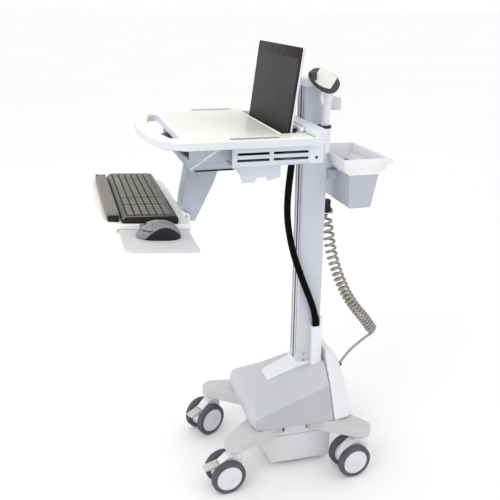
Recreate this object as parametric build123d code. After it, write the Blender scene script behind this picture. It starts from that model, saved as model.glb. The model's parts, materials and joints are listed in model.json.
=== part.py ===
from build123d import *
import math
import os

# A mobile computer cart for a ward: a castered base with a battery drive, a fixed column,
# and a lift carriage that bears the worksurface, the laptop bay and the keyboard arm.
# Millimetres. +X is the user's right, -Y is the user's side, +Z is up, Z 0 is the floor.

# ---- driving dimensions ----
CASTER_R = 50            # wheel radius
TRAIL = 30               # stem axis to wheel axle
WHEEL_X = 29             # caster centre plane to wheel centre plane
WHEEL_W = 20             # width of one wheel
DISC_R = 37              # wheel disc inside the tyre
AXLE_R = 4
LEG_Z0, LEG_Z1 = 120, 157        # underside and top of the leg castings
FRONT_TIP = (150, -263)          # front caster stem, right side
REAR_TIP = (172, 108)            # rear caster stem, right side
CASTERS = {                      # stem x, stem y, trail angle at rest
    "fl": (-FRONT_TIP[0], FRONT_TIP[1], 27),
    "fr": (FRONT_TIP[0], FRONT_TIP[1], 7),
    "rl": (-REAR_TIP[0], REAR_TIP[1], -9),
    "rr": (REAR_TIP[0], REAR_TIP[1], 6),
}
COL_HX = 31                      # column half width
COL_Y0, COL_Y1 = -45, 25         # column front and rear faces
COL_Z0, COL_Z1 = 165, 1100
WALL_SHEET = 2                   # folded sheet metal
TOP_HX = 250                     # worksurface half width
TOP_Z0, TOP_Z1 = 990, 1010       # worksurface underside and top
TOP_REAR = -62                   # rear edge of the worksurface
GRIP = (222, 242, -296, -178)    # x and y limits of the right grip strip
PANEL_HX, PANEL_RISE = 215, 0.6  # the working panel stands just proud of its border
BAY_HX = 228                     # laptop bay half width
BAY_Z0 = 943
BAY_FRONT = -290
SHELF_FRONT = -385               # front edge of the shelf under the laptop
SHELF_Z = 953
LID_HINGE = (-138, 975)          # y, z
LID_TILT = 8                     # lid leans back at rest
ARM_HX = 34
ARM_PIVOT = (-330, 928)          # y, z
TRAY_PIVOT = (-366, 775)         # y, z
TRAY_HX = 225
TRAY_REAR = (-388, 812)          # y, z of the rear top edge
TRAY_TILT = 4.8                  # front edge up
TRAY_T = 12
SCANNER_X, SCANNER_Y = 66, -3
CORD_D = 8
COIL_D = 36
SLEEVE_D = 19
RUN_FIT = 0.05                   # radial clearance of a running fit


# ---- helpers ----
def block(x0, x1, y0, y1, z0, z1):
    centre = ((x0 + x1) / 2, (y0 + y1) / 2, (z0 + z1) / 2)
    return Pos(*centre) * Box(x1 - x0, y1 - y0, z1 - z0)


def rod_x(radius, x0, x1, y, z):
    return Pos((x0 + x1) / 2, y, z) * Rot(0, 90, 0) * Cylinder(radius, x1 - x0)


def rod_y(radius, y0, y1, x, z):
    return Pos(x, (y0 + y1) / 2, z) * Rot(90, 0, 0) * Cylinder(radius, y1 - y0)


def rod_z(radius, z0, z1, x, y):
    return Pos(x, y, (z0 + z1) / 2) * Cylinder(radius, z1 - z0)


def polygon_face(points):
    return Face(Wire.make_polygon([Vector(*p) for p in points], close=True))


def side_prism(outline, x0, x1):
    """A prism along X from an outline of (y, z) points."""
    return extrude(polygon_face([(x0, y, z) for y, z in outline]), x1 - x0, (1, 0, 0))


def front_prism(outline, y0, y1):
    """A prism along Y from an outline of (x, z) points."""
    return extrude(polygon_face([(x, y0, z) for x, z in outline]), y1 - y0, (0, 1, 0))


def plan_prism(outline, z0, z1):
    """A prism along Z from an outline of (x, y) points."""
    return extrude(polygon_face([(x, y, z0) for x, y in outline]), z1 - z0, (0, 0, 1))


def rounded_plan(outline, z0, z1, radius):
    """A plan prism with every upright edge rounded."""
    prism = plan_prism(outline, z0, z1)
    return fillet(prism.edges().filter_by(Axis.Z), radius)


def mirrored(shape):
    return mirror(shape, Plane.YZ)


def both_sides(shape):
    return shape + mirrored(shape)


def section_loft(sections):
    """A ruled solid through cross-sections, each a y and a list of (x, z) points."""
    wires = [Wire.make_polygon([Vector(x, y, z) for x, z in pts], close=True) for y, pts in sections]
    return Solid.make_loft(wires, ruled=True)


def cord_radii(route):
    """Arc radius at each inner point: 0.45 of the shorter run over the tangent of half the turn."""
    pts = [Vector(*p) for p in route]
    radii = []
    for before, here, after in zip(pts, pts[1:], pts[2:]):
        run_in, run_out = here - before, after - here
        half_turn = math.radians(run_in.get_angle(run_out)) / 2
        radii.append(0.45 * min(run_in.length, run_out.length) / math.tan(half_turn))
    return radii


def cord_tube(label, route, diameter):
    """A round tube along straight runs joined by tangent arcs."""
    radii = cord_radii(route)
    path = FilletPolyline(*route, radius=radii)
    start = Plane(origin=path @ 0, z_dir=path % 0)
    tube = sweep(start * Circle(diameter / 2), path=path)
    expected = path.length * math.pi * diameter ** 2 / 4
    print(label, "length", round(path.length), "volume ratio", round(tube.volume / expected, 4))
    print("  radii", [round(r) for r in radii])
    return tube


# ---- casters ----
def at_caster(shape, name):
    x, y, angle = CASTERS[name]
    return Pos(x, y, 0) * Rot(0, 0, angle) * shape


PEDAL_AXIS = (-56, 78)           # y, z of the pedal pin, caster frame
STEM_R = 6
HOOD_HX = 15
PEDAL_HX = 14


def caster_hood(braked):
    """The fixed fork between the twin wheels, its trail towards -Y."""
    web = side_prism([(20, 110), (21, 74), (4, 38), (-24, 16), (-52, 24), (-66, 44),
                      (-66, 60), (-50, 86), (-26, 104)], -HOOD_HX, HOOD_HX)
    web = fillet(web.edges().filter_by(Axis.X), 7)
    hood = web + rod_z(18.5, 80, 110, 0, 0)
    hood -= rod_z(STEM_R + RUN_FIT, 84, 120, 0, 0)
    hood -= rod_x(AXLE_R + RUN_FIT, -30, 30, -TRAIL, CASTER_R)
    if braked:
        py, pz = PEDAL_AXIS
        hood -= rod_x(8, -PEDAL_HX - 0.4, PEDAL_HX + 0.4, py, pz)
        hood -= block(-PEDAL_HX - 0.4, PEDAL_HX + 0.4, py - 30, py, pz - 12, pz + 20)
        ear = rod_x(6, PEDAL_HX + 0.4, 17, py, pz)
        ear += side_prism([(py, pz - 6), (py + 20, pz - 16), (py + 20, pz + 6), (py, pz + 6)],
                          PEDAL_HX + 0.4, 17)
        hood += both_sides(ear)
        hood += rod_x(2, -17, 17, py, pz)
    return hood


def caster_tyres():
    outer = rod_x(CASTER_R, WHEEL_X - WHEEL_W / 2, WHEEL_X + WHEEL_W / 2, -TRAIL, CASTER_R)
    outer = fillet(outer.edges().filter_by(GeomType.CIRCLE), 6)
    tyre = outer - rod_x(DISC_R, 0, 2 * WHEEL_X, -TRAIL, CASTER_R)
    return both_sides(tyre)


def caster_hubs():
    disc = rod_x(DISC_R, WHEEL_X - WHEEL_W / 2, WHEEL_X + WHEEL_W / 2 - 1, -TRAIL, CASTER_R)
    disc = chamfer(disc.edges().group_by(Axis.X)[-1], 1.5)
    return both_sides(disc) + rod_x(AXLE_R, -22, 22, -TRAIL, CASTER_R)


def brake_pedal():
    """A foot pedal pinned between the wheels of a front caster."""
    py, pz = PEDAL_AXIS
    plate = side_prism([(py, pz - 4), (py, pz + 5), (py - 12, pz + 5), (py - 38, pz - 1),
                        (py - 38, pz - 6), (py - 12, pz - 2)], -PEDAL_HX, PEDAL_HX)
    pedal = plate + rod_x(6, -PEDAL_HX, PEDAL_HX, py, pz)
    return pedal - rod_x(2 + RUN_FIT, -PEDAL_HX - 1, PEDAL_HX + 1, py, pz)


def caster_stem():
    return rod_z(STEM_R, 85, LEG_Z0, 0, 0) + rod_z(13, 111, 116, 0, 0)


# ---- base ----
LEG_TIP_R, LEG_ROOT_R = 30, 48


def leg_casting(tip, root, y_side, top):
    """Two tapering legs on a cross bar, with tops that fall towards the tips."""
    leg = plan_leg(tip, root)
    bar = block(-root[0], root[0], *y_side, LEG_Z0, LEG_Z1)
    yoke = both_sides(leg) + bar
    return yoke & side_prism(top, -250, 250)


def plan_leg(tip, root):
    tip_disc = Pos(*tip) * Circle(LEG_TIP_R)
    root_disc = Pos(*root) * Circle(LEG_ROOT_R)
    edges = list(tip_disc.edges()) + list(root_disc.edges())
    return Pos(0, 0, LEG_Z0) * extrude(make_hull(edges), LEG_Z1 - LEG_Z0)


def front_legs():
    top = [(-300, LEG_Z0), (-300, 145), (-200, LEG_Z1), (-60, LEG_Z1), (-60, LEG_Z0)]
    return leg_casting(FRONT_TIP, (86, -150), (-190, -105), top)


def rear_legs():
    top = [(-60, LEG_Z0), (-60, LEG_Z1), (40, LEG_Z1), (145, 144), (145, LEG_Z0)]
    return leg_casting(REAR_TIP, (86, 10), (-30, 50), top)


CHASSIS_Z1 = COL_Z0


def chassis():
    """The steel plate that ties the two leg castings together."""
    plate = block(-84, 84, -172, 36, LEG_Z1, CHASSIS_Z1)
    lightening = block(-60, 60, -100, -55, LEG_Z1 - 1, CHASSIS_Z1 + 1)
    return plate - lightening


HOUSING_Z0 = 158


def housing_section(bottom_hx, crease, top, z0=HOUSING_Z0):
    """Half widths and heights of a six-sided cross-section."""
    (cx, cz), (tx, tz) = crease, top
    return [(-bottom_hx, z0), (-cx, cz), (-tx, tz), (tx, tz), (cx, cz), (bottom_hx, z0)]


def crease_at(y):
    """The crease of the housing runs straight from its front corner to the rear seam."""
    along = (y + 196) / 234
    return 148 - 48 * along, 198 + 54 * along


HOUSING_SECTIONS = [
    (-212, housing_section(112, (118, 196), (86, 205), 168)),
    (-196, housing_section(148, crease_at(-196), (92, 219))),
    (-120, housing_section(150, crease_at(-120), (72, 256))),
    (-50, housing_section(150, crease_at(-50), (60, 283))),
    (38, housing_section(150, crease_at(38), (54, 304))),
]
SPINE_SECTIONS = [
    (38.5, housing_section(150, (100, 252), (50, 336), HOUSING_Z0)),
    (62, housing_section(147, (96, 246), (44, 330), HOUSING_Z0)),
    (84, housing_section(140, (88, 236), (38, 300), HOUSING_Z0)),
    (100, housing_section(128, (76, 220), (32, 258), HOUSING_Z0)),
]
SHELL_T = 4


def inset(sections, t):
    """The same sections pulled in by the shell thickness and opened below."""
    inner = []
    for y, pts in sections:
        inner.append((y, [(x - math.copysign(t, x), z - t if z > 200 else z - 3 * t) for x, z in pts]))
    (y0, first), (y1, last) = inner[0], inner[-1]
    inner[0], inner[-1] = (y0 + t, first), (y1 - t, last)
    return inner


COLUMN_HOLE = block(-COL_HX - 1, COL_HX + 1, COL_Y0 - 1, COL_Y1 + 1, 100, 500)
COVER_X1 = 52                    # outer face of the cable cover
COVER_Y0, COVER_Y1 = -5, 25
COVER_HOLE = block(0, COVER_X1 + 1, COVER_Y0 - 1, COVER_Y1 + 1, 100, 500)


def base_housing():
    """The moulded shell over the drive, open below."""
    outer = section_loft(HOUSING_SECTIONS)
    inner = section_loft(inset(HOUSING_SECTIONS, SHELL_T))
    shell = Part() + outer - inner
    shell -= block(-200, 200, -230, 60, 100, HOUSING_Z0)
    shell -= block(-140, 140, 20, 60, 150, 245)
    return shell - COLUMN_HOLE - COVER_HOLE


def rear_spine():
    """The white rear cover, rising behind the column."""
    outer = section_loft(SPINE_SECTIONS)
    inner = section_loft(inset(SPINE_SECTIONS, SHELL_T))
    shell = Part() + outer - inner - block(-46, 46, 36, 50, 150, 310)
    shell -= block(-200, 200, 30, 120, 100, HOUSING_Z0)
    return shell


def column_plate():
    """The white plate let into the slope in front of the column."""
    blank = plan_prism([(-40, COL_Y0 - 2), (-34, -126), (-27, -134), (27, -134), (34, -126),
                        (40, COL_Y0 - 2)], 200, 300)
    skin = [(y, [(x, z + 2.5) for x, z in pts]) for y, pts in HOUSING_SECTIONS]
    above = Part() + section_loft(skin) - section_loft(HOUSING_SECTIONS)
    return blank & above


BOX_HX = 112


def power_box():
    """The lower cover round the power electronics, open above."""
    outline = [(-182, LEG_Z0 - 0.5), (-182, 96), (-142, 16), (40, 14), (40, LEG_Z0 - 0.5)]
    outer = side_prism(outline, -BOX_HX, BOX_HX)
    outer = fillet(outer.edges().filter_by(Axis.X).group_by(Axis.Z)[0], 10)
    inner = side_prism([(-178, LEG_Z0), (-178, 97), (-140, 20), (36, 18), (36, LEG_Z0)],
                       -BOX_HX + 4, BOX_HX - 4)
    lip = both_sides(block(60, BOX_HX, -150, -120, LEG_Z0 - 4, LEG_Z0 - 0.5))
    collar = both_sides(block(BOX_HX - 8, BOX_HX, -103, -37, LEG_Z0 - 3, LEG_Z1))
    return outer - inner + lip + collar


def battery_pack():
    pack = block(-60, 60, -130, -10, 20, 90)
    return fillet(pack.edges().filter_by(Axis.Z), 6)


def cord_gland():
    """The strain relief in the top of the spine, in line with the end of the cord."""
    ax, ay, az = GLAND_POINT
    body = Pos(ax, ay, az) * gland_rotation() * Pos(0, 0, -12) * Cylinder(8, 24)
    return body - section_loft(SPINE_SECTIONS)


# ---- column ----
def column():
    """An extruded aluminium column with a front slot and two shallow grooves."""
    body = block(-COL_HX, COL_HX, COL_Y0, COL_Y1, COL_Z0, COL_Z1)
    body = fillet(body.edges().filter_by(Axis.Z), 4)
    body -= block(-22, 22, COL_Y0 + 10, COL_Y1 - 11, COL_Z0 + 6, COL_Z1 + 1)
    body -= block(-5, 5, COL_Y0 - 1, COL_Y0 + 11, COL_Z0 + 130, COL_Z1 + 1)
    for x in (-19, 19):
        body -= block(x - 2, x + 2, COL_Y0 - 1, COL_Y0 + 3, COL_Z0 + 150, COL_Z1 + 1)
    return body


def column_cap():
    cap = block(-35, 35, COL_Y0 - 4, COL_Y1 + 4, COL_Z1, COL_Z1 + 20)
    cap = fillet(cap.edges().filter_by(Axis.Z), 6)
    return fillet(cap.edges().group_by(Axis.Z)[-1], 4)


def cable_cover():
    """The white duct that takes the cable sleeve down into the base."""
    wall = 2
    back = block(COL_HX, COVER_X1, COVER_Y1 - 8, COVER_Y1, COL_Z0, 445)
    back = fillet(back.edges().filter_by(Axis.Y).group_by(Axis.Z)[-1], 8)
    duct = block(COL_HX, COVER_X1, COVER_Y0, COVER_Y1, COL_Z0, 418)
    duct = fillet(duct.edges().filter_by(Axis.Z).group_by(Axis.X)[-1], 4)
    duct -= block(COL_HX + wall, COVER_X1 - wall, COVER_Y0 + wall, COVER_Y1 - 8, COL_Z0 + wall, 450)
    return duct + back


def foot_screws():
    """Two socket screws that hold the column to its foot."""
    y = COL_Y0 + 22
    return [rod_x(4, COL_HX, COL_HX + 2, y, z) - rod_x(2, COL_HX + 1, COL_HX + 3, y, z) for z in (303, 322)]


def lift_spring():
    """The wound constant-force spring that carries the carriage's weight."""
    y, z = -10, 1072
    roll = rod_x(16, -12, 12, y, z) - rod_x(12, -13, 13, y, z)
    turns = rod_x(11, -12, 12, y, z)
    web = rod_x(12, -11, 11, y, z)
    return roll + turns + web + rod_x(5, -22, 22, y, z)


def cord_hook():
    """The cord rest behind the column, a shelf with a turned-up lip."""
    back = block(-30, 2, COL_Y1, COL_Y1 + 3, 742, 778)
    shelf = block(-30, 2, COL_Y1, COL_Y1 + 36, 742, 745)
    lip = block(-30, 2, COL_Y1 + 34, COL_Y1 + 36, 742, 756)
    hole = rod_z(5, 740, 760, PLUG_X, PLUG_Y)
    return back + shelf + lip - hole


# ---- basket ----
def basket_level(hx, y0, y1, z):
    return Wire.make_polygon([Vector(-hx, y0, z), Vector(hx, y0, z), Vector(hx, y1, z), Vector(-hx, y1, z)],
                             close=True)


def basket_solid(grow):
    """The tub from its floor to its flared rim, each side moved out by grow."""
    levels = [(98, 66, 128, 782), (106, 58, 142, 876), (115, 40, 158, 892), (115, 38, 162, 920)]
    wires = [basket_level(hx + grow, y0 - grow, y1 + grow, z) for hx, y0, y1, z in levels]
    return Solid.make_loft(wires, ruled=True)


def basket():
    tub = Part() + basket_solid(0)
    tub = fillet(tub.edges().group_by(Axis.Z)[0], 5)
    hollow = basket_solid(-3) & block(-200, 200, 0, 300, 785, 921)
    grip = plan_prism([(-100, 158), (100, 158), (86, 192), (-86, 192)], 896, 910)
    grip -= plan_prism([(-78, 165), (78, 165), (70, 182), (-70, 182)], 890, 920)
    arm = block(-18, 18, COL_Y1, 64, 846, 872)
    return tub + grip + arm - hollow


# ---- scanner ----
def scanner_holder():
    """The upright cup on the column's side."""
    cup = rod_z(17.5, 935, 1003, SCANNER_X, SCANNER_Y) - rod_z(14, 941, 1004, SCANNER_X, SCANNER_Y)
    foot = block(COL_HX, SCANNER_X - 10, -15, 9, 942, 990)
    foot -= rod_z(16, 930, 1010, SCANNER_X, SCANNER_Y)
    return cup + foot


def scanner_handle():
    low = Pos(SCANNER_X, SCANNER_Y, 946) * Circle(11)
    mid = Pos(SCANNER_X, SCANNER_Y + 1, 1010) * Circle(12)
    high = Pos(SCANNER_X, SCANNER_Y + 9, 1098) * Ellipse(13, 11)
    return loft([low, mid, high])


def scanner_shell():
    head = side_prism([(-38, 1122), (-34, 1144), (-12, 1150), (16, 1148), (34, 1134), (38, 1112),
                       (22, 1092), (0, 1090), (-24, 1104)], SCANNER_X - 27, SCANNER_X + 27)
    head = fillet(head.edges().filter_by(Axis.X), 5)
    head = fillet(head.edges().filter_by(GeomType.LINE).filter_by(Axis.X, reverse=True), 6)
    slot = block(SCANNER_X - 7, SCANNER_X + 7, -20, -4, 1056, 1092)
    return head + scanner_handle() - slot


def scanner_bumper():
    """The soft frame round the reading window."""
    outline = [(-38, 1122), (-34, 1144), (-42, 1148), (-48, 1120)]
    return side_prism(outline, SCANNER_X - 29, SCANNER_X + 29)


def scanner_trigger():
    outline = [(-17, 1090), (-8, 1090), (-8, 1058), (-14, 1058), (-19, 1074)]
    return side_prism(outline, SCANNER_X - 6, SCANNER_X + 6)


# ---- lift body ----
def lift_carriage():
    """The slider: a plate in front of the column with a guide that runs inside it."""
    plate = block(-46, 46, TOP_REAR, COL_Y0 - 1, 905, 1005)
    neck = block(-4, 4, COL_Y0 - 1, COL_Y0 + 12, 910, 1000)
    guide = block(-20, 20, COL_Y0 + 12, COL_Y0 + 24, 910, 1000)
    return plate + neck + guide


def worksurface():
    """The moulded top with its handle, a slot for the lid and recesses for the grips."""
    bow = ThreePointArc((-206, -452), (0, -480), (206, -452))
    hx = TOP_HX
    edge = [Line((206, -452), (hx, -404)), Line((hx, -404), (hx, TOP_REAR)),
            Line((hx, TOP_REAR), (-hx, TOP_REAR)), Line((-hx, TOP_REAR), (-hx, -404)),
            Line((-hx, -404), (-206, -452))]
    plate = Pos(0, 0, TOP_Z0) * extrude(make_face([bow] + edge), TOP_Z1 - TOP_Z0)
    plate = fillet(plate.edges().filter_by(Axis.Z), 24)
    hole_bow = ThreePointArc((-182, -424), (0, -446), (182, -424))
    hole_edge = [Line((182, -424), (192, -403)), Line((192, -403), (-192, -403)),
                 Line((-192, -403), (-182, -424))]
    hole = Pos(0, 0, TOP_Z0 - 1) * extrude(make_face([hole_bow] + hole_edge), TOP_Z1 - TOP_Z0 + 2)
    plate -= fillet(hole.edges().filter_by(Axis.Z), 8)
    plate = fillet(plate.edges().group_by(Axis.Z)[-1], 5)
    plate = fillet(plate.edges().group_by(Axis.Z)[0], 3)
    plate += rounded_plan([(-PANEL_HX, -397), (PANEL_HX, -397), (PANEL_HX, -166), (-PANEL_HX, -166)],
                          TOP_Z1 - 1, TOP_Z1 + PANEL_RISE, 10)
    plate -= block(-186, 186, -160, -118, TOP_Z0 - 1, TOP_Z1 + 1)
    for grip in grip_strips():
        plate -= grip
    return plate + lever_ears()


LEVER_X0, LEVER_X1 = -40, 145
LEVER_AXIS = (-392, 984)         # y, z


def lever_ears():
    """Two ears below the worksurface, each with a pin for the release lever."""
    y, z = LEVER_AXIS
    ears = Part()
    left = (LEVER_X0 - 6, LEVER_X0 - 0.5, LEVER_X0 - 6, LEVER_X0 + 8)
    right = (LEVER_X1 + 0.5, LEVER_X1 + 6, LEVER_X1 - 8, LEVER_X1 + 6)
    for x0, x1, pin0, pin1 in (left, right):
        ears += block(x0, x1, y - 6, y + 6, z - 6, TOP_Z0)
        ears += rod_x(2, pin0, pin1, y, z)
    return ears


def lift_lever():
    """The release paddle that is squeezed up towards the handle."""
    y, z = LEVER_AXIS
    lever = rod_x(5, LEVER_X0, LEVER_X1, y, z)
    lever += side_prism([(y, z - 5), (y, z), (y - 30, z - 4), (y - 36, z - 9), (y - 30, z - 10)],
                        LEVER_X0, LEVER_X1)
    for end in (LEVER_X0, LEVER_X1):
        lever -= rod_x(2 + RUN_FIT, end - 9, end + 9, y, z)
    return lever


def grip_strips():
    """Two thin strips let into the edges of the worksurface."""
    x0, x1, y0, y1 = GRIP
    strip = rounded_plan([(x0, y0), (x1, y0), (x1, y1), (x0, y1)], TOP_Z1 - 2, TOP_Z1 - 0.3, 6)
    return [strip, mirrored(strip)]


def rear_hood():
    """The raised cover over the joint with the carriage."""
    outline = [(-244, -98), (244, -98), (249, -84), (238, TOP_REAR), (-238, TOP_REAR), (-249, -84)]
    hood = plan_prism(outline, TOP_Z1, TOP_Z1 + 15)
    hood = fillet(hood.edges().filter_by(Axis.Z), 6)
    hood = fillet(hood.edges().group_by(Axis.Z)[-1], 5)
    return hood - block(-220, 220, -90, -70, TOP_Z1 - 1, TOP_Z1 + 11)


SLOTS = [(-278, -200), (-190, -104)]     # y of the vent slots in each side
SLOT_Z = [(955, 961), (970, 976)]


def laptop_bay():
    """The folded tray below the worksurface that holds the laptop."""
    hx, t = BAY_HX, WALL_SHEET
    bay = block(-hx, hx, BAY_FRONT, TOP_REAR, BAY_Z0, BAY_Z0 + t)
    for x in (-hx, hx - t):
        bay += block(x, x + t, BAY_FRONT, TOP_REAR, BAY_Z0, TOP_Z0)
    bay += block(-hx, hx, TOP_REAR - t, TOP_REAR, BAY_Z0, TOP_Z0)
    bay += block(-190, 190, SHELF_FRONT, BAY_FRONT + 12, SHELF_Z, SHELF_Z + t)
    bay += block(-190, 190, BAY_FRONT + 10, BAY_FRONT + 12, BAY_Z0, SHELF_Z)
    for x in (-150, 130):
        bay += block(x, x + 20, BAY_FRONT + 12, -150, BAY_Z0, SHELF_Z + t)
    for y0, y1 in SLOTS:
        for z0, z1 in SLOT_Z:
            bay -= block(-hx - 1, hx + 1, y0, y1, z0, z1) - block(-hx + 10, hx - 10, y0, y1, z0, z1)
    return bay


def hook_bracket():
    """The sheet plate below the bay with two hanging tabs."""
    outline = [(-284, 943), (-262, 915), (-256, 895), (-226, 895), (-219, 907), (-198, 907), (-192, 897),
               (-160, 905), (-160, 943)]
    plate = side_prism(outline, 188, 190.5)
    return plate + block(150, 190.5, -262, -170, 940.5, 943)


def arm_mount():
    """The inverted channel under the shelf that carries the keyboard arm."""
    t = 3
    step_y = BAY_FRONT - 1
    outline = [(-386, SHELF_Z), (-386, 936), (-366, 914), (-262, 914), (-262, BAY_Z0), (step_y, BAY_Z0),
               (step_y, SHELF_Z)]
    outer = side_prism(outline, -118, 118)
    inner = side_prism([(-386 + t, SHELF_Z - t), (-386 + t, 937), (-365 + t, 900), (-262 - t, 900),
                        (-262 - t, BAY_Z0 - t), (step_y - t, BAY_Z0 - t), (step_y - t, SHELF_Z - t)],
                       -118 + t, 118 - t)
    mount = outer - inner
    py, pz = ARM_PIVOT
    cheek = block(36, 44, py - 16, py + 16, pz - 14, SHELF_Z)
    mount += both_sides(cheek)
    return mount - rod_x(5, -60, 60, py, pz)


def arm_pin():
    return rod_x(5, -44, 44, *ARM_PIVOT)


def keyboard_arm():
    """The bent channel that drops the keyboard tray below the worksurface, open behind."""
    py, pz = ARM_PIVOT
    qy, qz = TRAY_PIVOT
    outline = [(py - 13, pz), (-359, 896), (-375, 816), (qy - 14, qz), (qy - 8, qz - 13), (-342, qz - 14),
               (-290, 864), (-280, 892), (py + 13, pz)]
    web = [(py - 9, pz - 12), (-355, 894), (-371, 816), (qy - 5, qz + 12), (-300, qz + 12), (-240, 900),
           (py + 40, pz - 12)]
    arm = side_prism(outline, -ARM_HX, ARM_HX) + rod_x(13, -ARM_HX, ARM_HX, py, pz)
    arm -= side_prism(web, -ARM_HX + 3, ARM_HX - 3)
    arm -= rod_x(5 + RUN_FIT, -50, 50, py, pz)
    return arm - rod_x(4, -50, 50, qy, qz)


def tray_pin():
    return rod_x(4, -43, 43, *TRAY_PIVOT)


# ---- laptop ----
LAPTOP_HX = 178


def laptop_base():
    z0 = SHELF_Z + WALL_SHEET
    base = block(-LAPTOP_HX, LAPTOP_HX, -378, -147, z0, z0 + 20)
    base = fillet(base.edges().filter_by(Axis.Z), 8)
    y, z = LID_HINGE
    ear = block(111, 125, -148, y + 5, z - 6, z + 5) + rod_x(2, 100, 112, y, z)
    return base + both_sides(ear)


def laptop_lid():
    """The lid with its hinge barrel, leaning back at rest."""
    y, z = LID_HINGE
    panel = block(-LAPTOP_HX, LAPTOP_HX, y - 3.5, y + 3.5, z + 8, z + 232)
    panel = fillet(panel.edges().filter_by(Axis.Y), 7)
    neck = block(-110, 110, y - 3.5, y + 3.5, z, z + 20)
    lid = panel + neck + rod_x(4.5, -110, 110, y, z)
    for x in (-110, 110):
        lid -= rod_x(2 + RUN_FIT, x - 11, x + 11, y, z)
    return Pos(0, y, z) * Rot(-LID_TILT, 0, 0) * Pos(0, -y, -z) * lid


CLIP_PIN = (182, 1017)           # x, z of the clip's pin


def screen_clip():
    """The white arm that folds down behind the lid and holds it."""
    x, z = CLIP_PIN
    arm = front_prism([(x, z - 4), (x, z + 4), (x - 84, z + 6), (x - 88, z - 2), (x - 60, z - 4)],
                      -110, -104)
    clip = arm + rod_y(6, -110, -104, x, z)
    return clip - rod_y(2 + RUN_FIT, -113, -103, x, z)


def clip_post():
    """The pin and its foot, part of the hood."""
    x, z = CLIP_PIN
    return rod_y(2, -111, -97, x, z)


# ---- keyboard tray, in its own frame: origin at the rear top edge ----
def on_tray(shape):
    return Pos(0, *TRAY_REAR) * Rot(-TRAY_TILT, 0, 0) * shape


def keyboard_tray():
    front = ThreePointArc((-190, -203), (0, -214), (190, -203))
    edges = [Line((190, -203), (TRAY_HX, -168)), Line((TRAY_HX, -168), (TRAY_HX, 0)),
             Line((TRAY_HX, 0), (-TRAY_HX, 0)), Line((-TRAY_HX, 0), (-TRAY_HX, -168)),
             Line((-TRAY_HX, -168), (-190, -203))]
    plate = Pos(0, 0, -TRAY_T) * extrude(make_face([front] + edges), TRAY_T)
    plate = fillet(plate.edges().filter_by(Axis.Z), 16)
    plate = fillet(plate.edges().group_by(Axis.Z)[-1], 4)
    for y0, y1, lip0, lip1 in ((-176, -170, -176, -162), (-4, 0, -12, 0)):
        plate += block(150, TRAY_HX - 2, y0, y1, -TRAY_T - 9, -TRAY_T)
        plate += block(150, TRAY_HX - 2, lip0, lip1, -TRAY_T - 11, -TRAY_T - 9)
    return on_tray(plate) + tray_bracket()


def tray_bracket():
    """The ears that take the tilt pin below the tray."""
    qy, qz = TRAY_PIVOT
    ear = side_prism([(-452, 806), (TRAY_REAR[0], 801), (qy + 9, qz + 4), (qy + 9, qz - 9), (qy - 9, qz - 9),
                      (-440, 792)], 36.5, 41)
    ear += rod_x(10, 36.5, 41, qy, qz)
    ear -= rod_x(4 + RUN_FIT, 30, 50, qy, qz)
    return both_sides(ear)


def keyboard_base():
    outline = [(-160, 0.3), (-160, 8), (-152, 15), (-36, 19), (-30, 14), (-30, 0.3)]
    base = side_prism(outline, -220, 220)
    base = fillet(base.edges().filter_by(Axis.X, reverse=True).group_by(Axis.X)[0], 2)
    well = block(-214, 208, -148, -44, 10.5, 40)
    return on_tray(base - well)


KEY_BLOCKS = [(-212, 56), (62, 118), (124, 206)]     # x of the letter, cursor and number blocks
KEY_ROWS = 6
KEY_SPAN = (-147.5, -44.5)       # y of the rows in the tray's frame


def keyboard_keys():
    """The rows of keys, which travel down into the well."""
    y_first, y_last = KEY_SPAN
    pitch = (y_last - y_first) / KEY_ROWS
    keys = []
    for row in range(KEY_ROWS):
        y0 = y_first + row * pitch
        for x0, x1 in KEY_BLOCKS:
            key_row = block(x0, x1, y0 + 0.8, y0 + pitch - 0.8, 14, 19 + row * 0.6)
            keys.append(on_tray(chamfer(key_row.edges().group_by(Axis.Z)[-1], 1.2)))
    return keys


def wrist_rest():
    pad = block(-205, 205, -195, -162, 0.3, 18)
    pad = fillet(pad.edges().filter_by(Axis.X).group_by(Axis.Z)[-1], 8)
    return on_tray(fillet(pad.edges().filter_by(Axis.Z), 5))


MOUSE_TRAY_X = (138, 372)


def mouse_tray():
    x0, x1 = MOUSE_TRAY_X
    z1 = -TRAY_T - 1
    plate = plan_prism([(x0, -168), (x1, -168), (x1, -6), (x0, -6)], z1 - 6, z1)
    corners = plate.edges().filter_by(Axis.Z).group_by(Axis.X)[-1].sort_by(Axis.Y)
    plate = fillet(corners[0], 22)
    corners = plate.edges().filter_by(Axis.Z).group_by(Axis.X)[-1].sort_by(Axis.Y)
    plate = fillet(corners[-1], 9)
    return on_tray(fillet(plate.edges().group_by(Axis.Z)[-1], 1.5))


MOUSE_X, MOUSE_Y = 275, -84


def mouse_shell():
    """The whole mouse form, on the mouse tray."""
    z = -TRAY_T - 0.7
    outline = [(-50, 0), (-51, 12), (-42, 26), (-14, 37), (18, 35), (42, 20), (50, 6), (49, 0)]
    prism = side_prism([(MOUSE_Y + y, z + h) for y, h in outline], MOUSE_X - 31, MOUSE_X + 31)
    plan = Pos(MOUSE_X, MOUSE_Y, z - 1) * extrude(Ellipse(31, 52), 50)
    return prism & plan


def mouse_button_zone():
    return block(MOUSE_X - 40, MOUSE_X + 40, MOUSE_Y - 60, MOUSE_Y - 16, 8, 60)


def mouse_body():
    body = mouse_shell() - mouse_button_zone()
    return on_tray(body)


def mouse_buttons():
    """The two front buttons, split by the wheel slot."""
    upper = mouse_shell() & Pos(0, -0.6, 1) * mouse_button_zone()
    slot = block(MOUSE_X - 3, MOUSE_X + 3, MOUSE_Y - 70, MOUSE_Y, 0, 60)
    return on_tray(upper - slot)


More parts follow.
